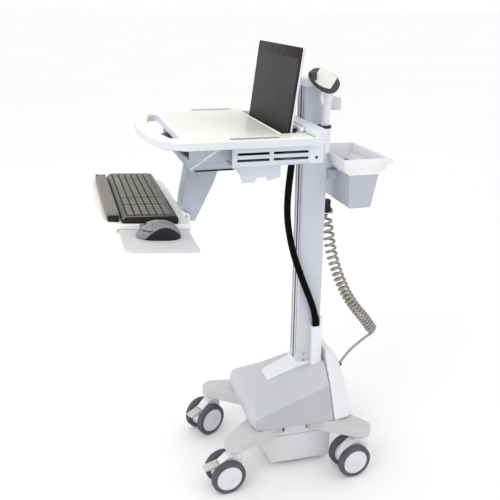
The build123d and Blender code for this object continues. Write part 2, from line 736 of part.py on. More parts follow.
# ---- cords ----
PLUG_X, PLUG_Y = -14, 47
PLUG_Z = (745, 780)
COIL_ROUTE = [(PLUG_X, PLUG_Y, 734), (-9, 49, 712), (-3, 54, 672), (2, 61, 626), (7, 75, 578), (11, 93, 530),
              (15, 116, 484), (18, 145, 442), (20, 178, 404), (21, 202, 366)]
GLAND_POINT = (30, 96, 276)
LEAD_ROUTE = [(24, 206, 366), (26, 182, 353), (29, 156, 338), (31, 131, 320), (31, 112, 300), GLAND_POINT]
SLEEVE_ROUTE = [(34, -76, 942), (34, -79, 890), (34, -86, 828), (35, -88, 764), (38, -81, 702), (43, -67, 642),
                (48, -48, 586), (51, -27, 532), (48, -7, 484), (43.5, 4, 448), (42, 7, 419)]


def gland_rotation():
    """Turns +Z to the direction in which the cord leaves the gland."""
    x0, y0, z0 = GLAND_POINT
    x1, y1, z1 = LEAD_ROUTE[-2]
    along = Vector(x1 - x0, y1 - y0, z1 - z0).normalized()
    return Plane(origin=(0, 0, 0), z_dir=along).location


def cord_plug():
    body = block(PLUG_X - 11, PLUG_X + 11, PLUG_Y - 9, PLUG_Y + 9, *PLUG_Z)
    body = fillet(body.edges().filter_by(Axis.Z), 4)
    neck = rod_z(4.5, COIL_ROUTE[0][2], PLUG_Z[0], PLUG_X, PLUG_Y)
    return body + neck


# ---- the assembly ----
def build_nodes():
    nodes = {
        "chassis": chassis(),
        "front_legs": front_legs(),
        "rear_legs": rear_legs(),
        "base_housing": base_housing(),
        "rear_spine": rear_spine(),
        "column_plate": column_plate(),
        "power_box": power_box(),
        "battery_pack": battery_pack(),
        "cord_gland": cord_gland(),
        "column": column(),
        "column_cap": column_cap(),
        "cable_cover": cable_cover(),
        "foot_screws": foot_screws(),
        "lift_spring": lift_spring(),
        "cord_hook": cord_hook(),
        "basket": basket(),
        "scanner_holder": scanner_holder(),
        "scanner_shell": scanner_shell(),
        "scanner_bumper": scanner_bumper(),
        "scanner_trigger": scanner_trigger(),
        "lift_carriage": lift_carriage(),
        "worksurface": worksurface(),
        "lift_lever": lift_lever(),
        "grip_strips": grip_strips(),
        "rear_hood": rear_hood() + clip_post(),
        "laptop_bay": laptop_bay(),
        "hook_bracket": hook_bracket(),
        "arm_mount": arm_mount(),
        "arm_pin": arm_pin(),
        "keyboard_arm": keyboard_arm(),
        "tray_pin": tray_pin(),
        "laptop_base": laptop_base(),
        "laptop_lid": laptop_lid(),
        "screen_clip": screen_clip(),
        "keyboard_tray": keyboard_tray(),
        "keyboard_base": keyboard_base(),
        "keyboard_keys": keyboard_keys(),
        "wrist_rest": wrist_rest(),
        "mouse_tray": mouse_tray(),
        "mouse_body": mouse_body(),
        "mouse_buttons": mouse_buttons(),
        "cable_sleeve": cord_tube("cable_sleeve", SLEEVE_ROUTE, SLEEVE_D),
        "cord_coil": cord_tube("cord_coil", COIL_ROUTE, COIL_D),
        "cord_lead": cord_tube("cord_lead", LEAD_ROUTE, CORD_D),
        "cord_plug": cord_plug(),
        "caster_stems": [at_caster(caster_stem(), name) for name in CASTERS],
    }
    for name in CASTERS:
        nodes["caster_hood_" + name] = at_caster(caster_hood(name[0] == "f"), name)
        nodes["caster_tyres_" + name] = at_caster(caster_tyres(), name)
        nodes["caster_hubs_" + name] = at_caster(caster_hubs(), name)
        if name[0] == "f":
            nodes["brake_pedal_" + name] = at_caster(brake_pedal(), name)
    return nodes


CORD_NODES = ("cord_coil", "cord_lead", "cord_plug")


def solids_of(shape):
    """Every solid of a node, whether it is one shape or a list of them."""
    shapes = shape if isinstance(shape, list) else [shape]
    return [solid for one in shapes for solid in one.solids()]


def assembly_offset(nodes):
    """Moves the origin to the middle of the cart's footprint, cords left out."""
    body = [s for name, shape in nodes.items() if name not in CORD_NODES for s in solids_of(shape)]
    box = Compound(children=body).bounding_box()
    return Vector(-(box.min.X + box.max.X) / 2, -(box.min.Y + box.max.Y) / 2, -box.min.Z)


NODES = build_nodes()
OFFSET = assembly_offset(NODES)


def write_parts():
    os.makedirs("parts", exist_ok=True)
    print("nodes", len(NODES), "offset", [round(v, 3) for v in OFFSET])
    for name, shape in NODES.items():
        moved = [Pos(*OFFSET) * solid for solid in solids_of(shape)]
        node = moved[0] if len(moved) == 1 else Compound(children=moved)
        export_step(node, f"parts/{name}.step")


if __name__ == "__main__":
    write_parts()
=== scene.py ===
import json
import math

import bmesh
import bpy
from mathutils import Matrix, Vector


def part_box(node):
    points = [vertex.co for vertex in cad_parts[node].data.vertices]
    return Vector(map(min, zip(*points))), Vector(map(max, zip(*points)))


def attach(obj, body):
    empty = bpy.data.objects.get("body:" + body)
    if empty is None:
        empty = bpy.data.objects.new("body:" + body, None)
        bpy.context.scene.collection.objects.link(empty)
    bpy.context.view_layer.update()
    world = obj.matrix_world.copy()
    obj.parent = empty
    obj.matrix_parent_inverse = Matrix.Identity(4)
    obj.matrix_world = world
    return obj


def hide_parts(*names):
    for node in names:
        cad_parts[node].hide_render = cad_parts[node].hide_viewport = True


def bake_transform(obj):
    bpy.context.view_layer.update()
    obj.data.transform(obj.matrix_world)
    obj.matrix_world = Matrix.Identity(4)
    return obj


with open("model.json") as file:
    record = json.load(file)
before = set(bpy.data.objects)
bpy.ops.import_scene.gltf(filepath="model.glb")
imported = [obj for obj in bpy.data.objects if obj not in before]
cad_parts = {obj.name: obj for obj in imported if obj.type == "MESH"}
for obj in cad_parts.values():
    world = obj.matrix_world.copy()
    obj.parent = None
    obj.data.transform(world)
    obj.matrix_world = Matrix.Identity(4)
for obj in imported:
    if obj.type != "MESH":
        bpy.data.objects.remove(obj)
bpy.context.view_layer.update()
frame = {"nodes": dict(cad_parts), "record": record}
BODY_OF = {node: body for body, nodes in frame["record"]["behaviour"]["bodies"].items() for node in nodes}

# The design frame has its origin on the column's axis, in millimetres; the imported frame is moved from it.
COLUMN_LOW, COLUMN_HIGH = [Vector(c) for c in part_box("column")]
ORIGIN = Vector(((COLUMN_LOW.x + COLUMN_HIGH.x) / 2, COLUMN_LOW.y + 0.045, 0))


def at(x, y, z):
    """A point of the design frame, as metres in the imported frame."""
    return ORIGIN + Vector((x, y, z)) / 1000


def placed(x, y, z, turn_x=0.0, turn_z=0.0):
    """The matrix of a local millimetre frame at that point."""
    turn = Matrix.Rotation(math.radians(turn_z), 4, "Z") @ Matrix.Rotation(math.radians(turn_x), 4, "X")
    return Matrix.Translation(at(x, y, z)) @ turn @ Matrix.Scale(0.001, 4)


DESIGN = placed(0, 0, 0)
TRAY = placed(0, -388, 812, turn_x=-4.8)
LID = placed(0, -138, 975, turn_x=-8)
CASTERS = {"fl": (-150, -263, 27), "fr": (150, -263, 7), "rl": (-172, 108, -9), "rr": (172, 108, 6)}


# ---- materials ----
def linear(hex_colour):
    """A #RRGGBB colour as linear RGBA."""
    channels = [int(hex_colour[i:i + 2], 16) / 255 for i in (1, 3, 5)]
    return tuple(c / 12.92 if c <= 0.04045 else ((c + 0.055) / 1.055) ** 2.4 for c in channels) + (1.0,)


def scaled(colour, factor):
    return tuple(min(1.0, c * factor) for c in colour[:3]) + (1.0,)


class Nodes:
    """Short calls for building one material's node tree."""

    def __init__(self, name):
        self.material = bpy.data.materials.new(name)
        self.material.use_nodes = True
        self.tree = self.material.node_tree
        self.shader = self.tree.nodes["Principled BSDF"]
        coordinates = self.add("ShaderNodeTexCoord")
        self.place = coordinates.outputs["Object"]

    def add(self, kind, **values):
        node = self.tree.nodes.new(kind)
        for key, value in values.items():
            setattr(node, key, value)
        return node

    def link(self, output, socket):
        self.tree.links.new(output, socket)

    def noise(self, scale, detail=3.0):
        texture = self.add("ShaderNodeTexNoise")
        texture.inputs["Scale"].default_value = scale
        texture.inputs["Detail"].default_value = detail
        self.link(self.place, texture.inputs["Vector"])
        return texture.outputs["Fac"]

    def ramp(self, factor, stops):
        """A colour ramp between two stops of (position, colour)."""
        ramp = self.add("ShaderNodeValToRGB")
        elements = ramp.color_ramp.elements
        for element, (position, colour) in zip(elements, stops):
            element.position = position
            element.color = colour
        self.link(factor, ramp.inputs["Fac"])
        return ramp.outputs["Color"]

    def spread(self, factor, low, high, source=(0.3, 0.7)):
        """Maps a noise to the range low..high."""
        node = self.add("ShaderNodeMapRange")
        node.inputs["From Min"].default_value = source[0]
        node.inputs["From Max"].default_value = source[1]
        node.inputs["To Min"].default_value = low
        node.inputs["To Max"].default_value = high
        self.link(factor, node.inputs["Value"])
        return node.outputs["Result"]

    def blend(self, factor, first, second):
        """Mixes two colours, either of which may be a socket or a value."""
        node = self.add("ShaderNodeMix", data_type="RGBA")
        for index, value in ((6, first), (7, second)):
            if isinstance(value, tuple):
                node.inputs[index].default_value = value
            else:
                self.link(value, node.inputs[index])
        self.link(factor, node.inputs[0])
        return node.outputs[2]

    def bump(self, height, strength, distance):
        node = self.add("ShaderNodeBump")
        node.inputs["Strength"].default_value = strength
        node.inputs["Distance"].default_value = distance
        self.link(height, node.inputs["Height"])
        self.link(node.outputs["Normal"], self.shader.inputs["Normal"])


def moulded(name, hex_colour, rough=0.42, grain=900, depth=0.00008, mottle=0.05, wear=0.12, metal=0.0,
            coat=0.0, specular=0.5):
    """Moulded plastic or paint: faint mottling, edge wear, and a fine grain in bump and roughness."""
    n = Nodes(name)
    base = linear(hex_colour)
    body = n.ramp(n.noise(7), [(0.3, scaled(base, 1 - mottle)), (0.7, scaled(base, 1 + mottle / 2))])
    geometry = n.add("ShaderNodeNewGeometry")
    edges = n.spread(geometry.outputs["Pointiness"], 0.0, wear, (0.52, 0.6))
    lighter = tuple(min(1.0, c * 0.75 + 0.25) for c in base[:3]) + (1.0,)
    n.link(n.blend(edges, body, lighter), n.shader.inputs["Base Color"])
    n.link(n.spread(n.noise(45), rough - 0.05, rough + 0.07), n.shader.inputs["Roughness"])
    n.shader.inputs["Metallic"].default_value = metal
    n.shader.inputs["Coat Weight"].default_value = coat
    n.shader.inputs["Specular IOR Level"].default_value = specular
    n.bump(n.noise(grain, 2.0), 0.35, depth)
    return n.material


def woven(name, hex_colour, pitch=0.0016):
    """A woven cloth: two crossed sets of threads."""
    n = Nodes(name)
    base = linear(hex_colour)
    threads = []
    for direction in ("X", "Y"):
        wave = n.add("ShaderNodeTexWave", wave_type="BANDS", bands_direction=direction)
        wave.inputs["Scale"].default_value = 0.314 / pitch
        wave.inputs["Distortion"].default_value = 0.6
        n.link(n.place, wave.inputs["Vector"])
        threads.append(wave.outputs["Fac"])
    weave = n.add("ShaderNodeMath", operation="MULTIPLY")
    n.link(threads[0], weave.inputs[0])
    n.link(threads[1], weave.inputs[1])
    mottled = n.ramp(n.noise(60), [(0.3, scaled(base, 0.85)), (0.7, scaled(base, 1.12))])
    shade = n.ramp(weave.outputs[0], [(0.0, scaled(base, 0.7)), (0.8, scaled(base, 1.2))])
    half = n.spread(n.noise(200), 0.4, 0.6)
    n.link(n.blend(half, mottled, shade), n.shader.inputs["Base Color"])
    n.shader.inputs["Roughness"].default_value = 0.9
    n.shader.inputs["Sheen Weight"].default_value = 0.3
    n.bump(weave.outputs[0], 0.5, 0.0004)
    return n.material


def ribbed(name, hex_colour, pitch, rough=0.5, direction="Z", specular=0.25):
    """Rubber or braid with close ribs."""
    n = Nodes(name)
    base = linear(hex_colour)
    wave = n.add("ShaderNodeTexWave", wave_type="BANDS", bands_direction=direction)
    wave.inputs["Scale"].default_value = 0.314 / pitch
    n.link(n.place, wave.inputs["Vector"])
    dusty = n.ramp(n.noise(40), [(0.35, scaled(base, 0.85)), (0.75, scaled(base, 1.25))])
    n.link(dusty, n.shader.inputs["Base Color"])
    n.link(n.spread(n.noise(120), rough - 0.06, rough + 0.1), n.shader.inputs["Roughness"])
    n.shader.inputs["Specular IOR Level"].default_value = specular
    n.bump(wave.outputs["Fac"], 0.5, pitch * 0.3)
    return n.material


M = {
    "top": moulded("top_white", "#F6F5EF", 0.38, coat=0.1),
    "white": moulded("cover_white", "#E9EAEE", 0.4),
    # cool: white plastic with painted shade, the tone of its sides turned from the light, for the rear hood
    # and rear cover
    "shaded_white": moulded("painted_shade_white", "#E2E5EE", 0.4),
    # side: the worksurface's white with painted shade, for its upright faces turned from the light
    "side": moulded("painted_side_shade", "#DFE1E9", 0.4),
    "housing": moulded("housing_grey", "#C6C8CD", 0.45, mottle=0.04),
    "box": moulded("box_grey", "#D9D9DC", 0.5),
    "casting": moulded("casting_paint", "#C8C8C8", 0.42, grain=500, depth=0.0001, mottle=0.03),
    "column": moulded("anodised_column", "#CDCFD7", 0.4, mottle=0.01, metal=0.05, grain=500, depth=0.00003),
    "sheet": moulded("sheet_paint", "#D6DAE4", 0.42),
    "arm": moulded("arm_paint", "#B4BAC6", 0.42),
    "mount": moulded("mount_paint", "#BCC4CF", 0.42),
    "facet": moulded("housing_facet", "#B6B7BC", 0.5, mottle=0.04),
    "steel": moulded("steel", "#B5B5B5", 0.3, metal=1.0, wear=0.05),
    "dark": moulded("dark_plastic", "#3D3F42", 0.5, wear=0.06),
    "black": moulded("black_plastic", "#141417", 0.5, wear=0.04, specular=0.3),
    # groove: painted shade for the insides of the column's slot and grooves
    "groove": moulded("painted_groove_shade", "#5B5D63", 0.6, wear=0.0),
    # slot: painted shade, a near-black for gaps that lie in shadow
    "slot": moulded("painted_gap_shade", "#101114", 0.7, wear=0.0),
    "basket": moulded("basket_grey", "#BCBFC8", 0.5, mottle=0.04),
    "rim": moulded("rim_white", "#F2F2F4", 0.45),
    "tyre": ribbed("tyre_grey", "#56595E", 0.004, 0.75, "X"),
    "disc": moulded("disc_white", "#DCDCE2", 0.38),
    "hood": moulded("hood_white", "#E6E6EA", 0.36, coat=0.15),
    "pedal": moulded("pedal_grey", "#C9C9C0", 0.55),
    "pad": moulded("pad_grey", "#9B9CA1", 0.7, grain=500, depth=0.0002),
    "grip": moulded("grip_grey_green", "#A2A79B", 0.75, grain=1500, depth=0.0002, wear=0.0),
    "bezel": moulded("laptop_bezel", "#2A2425", 0.6, wear=0.02, specular=0.15),
    "screen": moulded("screen_grey", "#4A4A4A", 0.7, grain=1500, depth=0.000005, mottle=0.004, wear=0.0,
                      specular=0.05),
    "lid_back": moulded("lid_back_silver", "#E0E1EA", 0.35),
    "key": moulded("key_grey", "#716D65", 0.42, grain=1400, wear=0.1),
    # well: painted shade for the gaps between the keys
    "well": moulded("key_gap_shade", "#0E0D0B", 0.8, specular=0.2),
    "frame": moulded("keyboard_grey", "#58585B", 0.35, metal=0.15),
    "wrist": woven("wrist_cloth", "#7A736B"),
    "mouse": moulded("mouse_silver", "#8C8C90", 0.3, metal=0.3, coat=0.2),
    "scanner": moulded("scanner_cream", "#EDEDE6", 0.35, coat=0.2),
    "handle": moulded("scanner_handle", "#E6E8EA", 0.4),
    "sleeve": ribbed("sleeve_black", "#070808", 0.003, 0.6, specular=0.06),
    "cord": moulded("cord_grey_brown", "#A09A93", 0.42, grain=600, mottle=0.08, coat=0.15),
}


def dress(obj, key):
    """Gives an object one of the materials, in all its slots."""
    if not obj.data.materials:
        obj.data.materials.append(M[key])
    for index in range(len(obj.data.materials)):
        obj.data.materials[index] = M[key]


# ---- geometry helpers ----
def linked(name, data):
    obj = bpy.data.objects.new(name, data)
    bpy.context.scene.collection.objects.link(obj)
    return obj


def finished(obj, key, body, replaces=(), smooth=True):
    """Shades, dresses and rides a piece, and lets it stand for CAD nodes."""
    if obj.type == "MESH":
        for polygon in obj.data.polygons:
            polygon.use_smooth = smooth
    dress(obj, key)
    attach(obj, body)
    if replaces:
        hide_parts(*replaces)
    return obj


def mesh_piece(name, verts, faces, key, body, matrix=DESIGN, replaces=(), bevel=0.0):
    """A piece from its own points and faces, in millimetres of the given frame."""
    mesh = bpy.data.meshes.new(name)
    mesh.from_pydata([matrix @ Vector(v) for v in verts], [], faces)
    bm = bmesh.new()
    bm.from_mesh(mesh)
    bmesh.ops.recalc_face_normals(bm, faces=bm.faces)
    bm.to_mesh(mesh)
    bm.free()
    obj = linked(name, mesh)
    if bevel:
        rounded_edges(obj, bevel)
    return finished(obj, key, body, replaces, smooth=bool(bevel))


def rounded_edges(obj, width):
    """Rounds the sharp edges and keeps the flats flat."""
    bevel = obj.modifiers.new("bevel", "BEVEL")
    bevel.width = width / 1000
    bevel.segments = 3
    bevel.limit_method = "ANGLE"
    bevel.angle_limit = math.radians(30)
    bevel.harden_normals = True
    apply_modifiers(obj)


def apply_modifiers(obj):
    """Turns an object's modifiers into mesh."""
    graph = bpy.context.evaluated_depsgraph_get()
    mesh = bpy.data.meshes.new_from_object(obj.evaluated_get(graph))
    obj.modifiers.clear()
    obj.data = mesh


def cad_copy(name, node):
    """A new object with a copy of a CAD node's mesh, its triangles joined into flats."""
    source = frame["nodes"][node]
    obj = linked(name, source.data.copy())
    obj.data.materials.clear()
    bm = bmesh.new()
    bm.from_mesh(obj.data)
    bmesh.ops.remove_doubles(bm, verts=bm.verts, dist=0.00002)
    bmesh.ops.dissolve_limit(bm, angle_limit=math.radians(1), verts=bm.verts, edges=bm.edges)
    bm.to_mesh(obj.data)
    bm.free()
    return obj


def soften(obj, voxel, turns):
    """Remeshes a closed form and relaxes it, so that its edges are moulded ones."""
    remesh = obj.modifiers.new("remesh", "REMESH")
    remesh.mode = "VOXEL"
    remesh.voxel_size = voxel / 1000
    relax = obj.modifiers.new("relax", "SMOOTH")
    relax.factor = 0.5
    relax.iterations = turns
    apply_modifiers(obj)
    return obj


def refined(node, key, width):
    """A CAD node with rounded edges."""
    obj = cad_copy("fine_" + node, node)
    rounded_edges(obj, width)
    return finished(obj, key, BODY_OF[node], [node])


def moulded_copy(node, key, voxel, turns):
    """A CAD node as a softly moulded form."""
    obj = soften(cad_copy("soft_" + node, node), voxel, turns)
    return finished(obj, key, BODY_OF[node], [node])


def slab(name, x, y, z, key, body, matrix=DESIGN, bevel=1.0):
    """A small rounded plate between pairs of coordinates."""
    corners = [(a, b, c) for c in z for b in y for a in x]
    faces = [(0, 1, 3, 2), (4, 6, 7, 5), (0, 4, 5, 1), (2, 3, 7, 6), (0, 2, 6, 4), (1, 5, 7, 3)]
    return mesh_piece(name, corners, faces, key, body, matrix, bevel=bevel)


def lathed(name, profile, key, body, matrix, steps=48):
    """A turned piece about its local X axis from (x, radius) points."""
    verts, faces = [], []
    for step in range(steps):
        a = 2 * math.pi * step / steps
        verts += [(x, r * math.cos(a), r * math.sin(a)) for x, r in profile]
    n = len(profile)
    for step in range(steps):
        here, there = step * n, (step + 1) % steps * n
        faces += [(here + i, here + i + 1, there + i + 1, there + i) for i in range(n - 1)]
    obj = mesh_piece(name, verts, faces, key, body, matrix)
    for polygon in obj.data.polygons:
        polygon.use_smooth = True
    return obj


def lofted(sections):
    """Points and faces of a closed loft through rings of equal length."""
    verts = [point for ring in sections for point in ring]
    n = len(sections[0])
    faces = [tuple(range(n)), tuple(range(len(verts) - n, len(verts)))]
    for level in range(len(sections) - 1):
        low, high = level * n, (level + 1) * n
        faces += [(low + i, low + (i + 1) % n, high + (i + 1) % n, high + i) for i in range(n)]
    return verts, faces


# ---- camera and cords ----
CAMERA_TARGET = (-46.8, -168.6, 635.7)
CAMERA_DISTANCE = 1.977
CAMERA_LENS = 49.7
CAMERA_ANGLES = (74.3, 19.7, 0.5)        # azimuth, elevation and roll in degrees


def camera():
    """The camera at its fitted place."""
    azimuth, elevation, roll = [math.radians(angle) for angle in CAMERA_ANGLES]
    back = Vector((math.sin(azimuth) * math.cos(elevation), -math.cos(azimuth) * math.cos(elevation),
                   math.sin(elevation)))
    data = bpy.data.cameras.new("camera")
    data.lens = CAMERA_LENS
    data.sensor_width = 36
    obj = linked("camera", data)
    turn = back.to_track_quat("Z", "Y").to_matrix().to_4x4() @ Matrix.Rotation(roll, 4, "Z")
    obj.matrix_world = Matrix.Translation(at(*CAMERA_TARGET) + back * CAMERA_DISTANCE) @ turn
    bpy.context.scene.camera = obj


COIL_ROUTE = [(-14, 47, 734), (-9, 49, 712), (-3, 54, 672), (2, 61, 626), (7, 75, 578), (11, 93, 530),
              (15, 116, 484), (18, 145, 442), (20, 178, 404), (21, 202, 366)]
LEAD_ROUTE = [(24, 206, 366), (26, 182, 353), (29, 156, 338), (31, 131, 320), (31, 112, 300), (30, 96, 276)]
SLEEVE_ROUTE = [(34, -76, 942), (34, -79, 890), (34, -86, 828), (35, -88, 764), (38, -81, 702),
                (43, -67, 642), (48, -48, 586), (51, -27, 532), (48, -7, 484), (43.5, 4, 448), (42, 7, 419)]
CORD_RADIUS = 4
TURNS = 27
COIL_RADIUS = 13.9
COIL_CROWDING = 0.42             # how much closer the turns lie at the low end
POINTS_PER_TURN = 14
SLEEVE_RADIUS = 9.5


def nurbs(name, points, radius):
    """A smooth tube with those points as its control points, in metres."""
    data = bpy.data.curves.new(name, "CURVE")
    data.dimensions = "3D"
    spline = data.splines.new("NURBS")
    spline.points.add(len(points) - 1)
    for control, point in zip(spline.points, points):
        control.co = (*point, 1)
    spline.order_u = 3
    spline.use_endpoint_u = True
    spline.resolution_u = 6
    data.bevel_depth = radius / 1000
    data.bevel_resolution = 4
    data.use_fill_caps = True
    return linked(name, data)


def line_of(route):
    """Points along a route's own smooth line."""
    probe = nurbs("probe", [at(*p) for p in route], 0)
    graph = bpy.context.evaluated_depsgraph_get()
    mesh = bpy.data.meshes.new_from_object(probe.evaluated_get(graph))
    points = [v.co.copy() for v in mesh.vertices]
    bpy.data.objects.remove(probe)
    bpy.data.meshes.remove(mesh)
    return points


def even(points, count):
    """The line's points again, at even distances."""
    lengths = [0.0]
    for a, b in zip(points, points[1:]):
        lengths.append(lengths[-1] + (b - a).length)
    result, index = [], 0
    for step in range(count):
        goal = lengths[-1] * step / (count - 1)
        while index < len(points) - 2 and lengths[index + 1] < goal:
            index += 1
        share = (goal - lengths[index]) / (lengths[index + 1] - lengths[index])
        result.append(points[index].lerp(points[index + 1], share))
    return result


def helix_points():
    """The curly stretch from the plug to its low end: wide turns at the top, close ones below."""
    steps = TURNS * POINTS_PER_TURN
    line = even(line_of(COIL_ROUTE), 400)
    side = Vector((1, 0, 0))
    result = []
    for step in range(steps + 1):
        share = step / steps
        along = (1 + COIL_CROWDING) * share - COIL_CROWDING * share ** 2
        place = along * (len(line) - 1)
        index = min(int(place), len(line) - 2)
        centre = line[index].lerp(line[index + 1], place - index)
        tangent = (line[index + 1] - line[index]).normalized()
        side = (side - tangent * side.dot(tangent)).normalized()
        up = tangent.cross(side)
        angle = 2 * math.pi * step / POINTS_PER_TURN
        turns_from_end = min(step, steps - step) / POINTS_PER_TURN
        radius = COIL_RADIUS * min(1.0, 0.1 + turns_from_end) / 1000
        result.append(centre + (side * math.cos(angle) + up * math.sin(angle)) * radius)
    return result


def length_of(points):
    return sum((b - a).length for a, b in zip(points, points[1:]))


def curly_cord():
    """The power cord: out of the gland, along its straight lead, up the coil to the plug."""
    lead = [at(*p) for p in reversed(LEAD_ROUTE)]
    points = lead + list(reversed(helix_points()))
    cord = nurbs("power_cord", points, CORD_RADIUS)
    finished(cord, "cord", "base", ["cord_coil", "cord_lead"])
    print("cord length", round(length_of(points), 3))


def cable_sleeve():
    """The black sleeve, as a mesh along its curved route between the lift and the base."""
    path = line_of(SLEEVE_ROUTE)
    curve = nurbs("sleeve_curve", [at(*p) for p in SLEEVE_ROUTE], SLEEVE_RADIUS)
    graph = bpy.context.evaluated_depsgraph_get()
    mesh = bpy.data.meshes.new_from_object(curve.evaluated_get(graph))
    bpy.data.objects.remove(curve)
    sleeve = linked("cable_sleeve_fine", mesh)
    for polygon in mesh.polygons:
        polygon.use_smooth = True
    dress(sleeve, "sleeve")
    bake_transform(sleeve)
    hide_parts("cable_sleeve")


# ---- base ----
def housing_ring(y, bottom, crease, top, low=157.0):
    """One six-sided section of the housing, as points of the design frame."""
    (cx, cz), (tx, tz) = crease, top
    return [(-bottom, y, low), (-cx, y, cz), (-tx, y, tz), (tx, y, tz), (cx, y, cz), (bottom, y, low)]


def crease_at(y):
    along = (y + 196) / 234
    return 148 - 48 * along, 198 + 54 * along


def housing():
    """The grey shell and the white spine behind it, with moulded edges."""
    rows = [(-212, 118, (118, 196), (86, 205), 166), (-196, 148, crease_at(-196), (92, 219), 157),
            (-120, 150, crease_at(-120), (72, 256), 157), (-50, 150, crease_at(-50), (60, 283), 157),
            (37, 150, crease_at(37), (54, 304), 157)]
    verts, faces = lofted([housing_ring(*row) for row in rows])
    shell = mesh_piece("base_housing_fine", verts, faces, "housing", "base", replaces=["base_housing"])
    soften(shell, 3.5, 14)
    finished(shell, "housing", "base")
    shell.data.materials.append(M["facet"])
    for polygon in shell.data.polygons:
        centre = (polygon.center - ORIGIN) * 1000
        below = centre.z < crease_at(centre.y)[1] - 2 and centre.z > 158
        if below and abs(polygon.normal.x) > 0.6:
            polygon.material_index = 1
    rows = [(38.5, 150, (100, 252), (50, 336), 157), (62, 147, (96, 246), (44, 330), 157),
            (84, 140, (88, 236), (38, 300), 157), (100, 128, (76, 220), (32, 258), 157)]
    verts, faces = lofted([housing_ring(*row) for row in rows])
    spine = mesh_piece("rear_spine_fine", verts, faces, "white", "base", replaces=["rear_spine"])
    soften(spine, 3.5, 7)
    finished(spine, "white", "base")


def base_trim():
    """The column's foot, the box's seam and the bracket behind the column."""
    slab("foot_shoe", (-38, 38), (-50, 30), (276, 300), "white", "base", bevel=3)
    slab("box_seam", (-112.6, 112.6), (-170, 38), (106, 107.5), "pad", "base", bevel=0.4)
    slab("rear_bracket", (-24, 24), (26, 60), (1036, 1068), "box", "base", bevel=3)


WHEEL_OFFSET, WHEEL_TRAIL, WHEEL_HEIGHT = 38, -30, 50


def casters():
    """Hub trims on the twin wheels, with softly moulded hoods."""
    profile = [(0, 37), (1.2, 36.2), (1.2, 33), (0.4, 31.5), (0.4, 13), (0.9, 12), (0.9, 0.01)]
    for name, (x, y, angle) in CASTERS.items():
        for side in (-1, 1):
            wheel = Matrix.Translation((side * WHEEL_OFFSET, WHEEL_TRAIL, WHEEL_HEIGHT))
            matrix = placed(x, y, 0, turn_z=angle) @ wheel
            mirrored = matrix @ Matrix.Scale(side, 4, Vector((1, 0, 0)))
            lathed(f"hub_trim_{name}_{'lr'[side > 0]}", profile, "disc", "wheels_" + name, mirrored)
        moulded_copy("caster_hood_" + name, "hood", 1.6, 5)
        dress(frame["nodes"]["caster_tyres_" + name], "tyre")
        dress(frame["nodes"]["caster_hubs_" + name], "disc")
        collar = [(112, 0.01), (112, 17), (116, 18), (120, 18), (121, 0.01)]
        upright = placed(x, y, 0) @ Matrix.Rotation(math.radians(-90), 4, "Y")
        lathed("stem_collar_" + name, collar, "white", "base", upright)
    for name in ("fl", "fr"):
        moulded_copy("brake_pedal_" + name, "pedal", 1.2, 3)


# ---- worksurface, bay and laptop ----
def top_detail():
    """The side plates, lid slot lip, hood seam, rear cover with its screw, clip knob and mount trim."""
    for side in (-1, 1):
        slab(f"shelf_side_{'lr'[side > 0]}", sorted((side * 190.5, side * 193)), (-384, -266), (955, 989),
             "arm", "lift", bevel=0.8)
    slab("slot_lip", (-188, 188), (-164, -160), (1009.6, 1011.2), "top", "lift", bevel=0.5)
    slab("hood_seam", (-249.5, 249.5), (-99.4, -98.6), (1009, 1011), "pad", "lift", bevel=0.1)
    # The rear cover is dressed in white with painted shade.
    slab("rear_cover", (226, 229.2), (-101, -66), (944, 989), "shaded_white", "lift", bevel=1.2)
    lathed("cover_screw", [(0, 4), (1.2, 3.6), (1.2, 1.4), (0.4, 1.2), (0.4, 0.01)], "dark", "lift",
           placed(229, -84, 958), steps=20)
    lathed("clip_knob", [(0, 6.5), (7, 6), (9, 4.5), (9, 0.01)], "black", "lift",
           placed(164, -118.5, 1009) @ Matrix.Rotation(math.radians(-90), 4, "Y"), steps=28)
    # A near-black strip of painted shade in the gap under the arm mount.
    slab("mount_gap", (117.4, 119), (-357, -258), (911.5, 915.5), "slot", "lift", bevel=0.4)
    folds = {"low": (118, ((-368, 915), (-316, 948))), "high": (193, ((-350, 954), (-303, 983)))}
    for name, (x, spots) in folds.items():
        ends = [[(x, y, z), (x + 2, y, z), (x + 2, y - 3, z + 5), (x, y - 3, z + 5)] for y, z in spots]
        mesh_piece("mount_fold_" + name, *lofted(ends), "hood", "lift", bevel=0.6)


def laptop():
    """The display, its bezel, latches and light back cover."""
    moulded_lid = refined("laptop_lid", "bezel", 0.8)
    slab("display", (-166, 166), (-4.0, -3.3), (26, 206), "screen", "lid", LID, bevel=0.3)
    slab("lid_back_cover", (-178.6, 178.6), (-1.6, 4.1), (8.6, 232.6), "lid_back", "lid", LID, bevel=1.2)
    for x in (-60, 60):
        slab(f"lid_latch_{'lr'[x > 0]}", (x - 7, x + 7), (-4.4, -3.4), (219, 226), "black", "lid", LID,
             bevel=0.4)


# ---- trays, keyboard and mouse ----
KEY_BLOCKS = [(-212, 56, 15), (62, 118, 3), (124, 206, 4)]       # x from, x to and keys in each row
KEY_ROWS = 6
KEY_FRONT, KEY_REAR = -147.5, -44.5


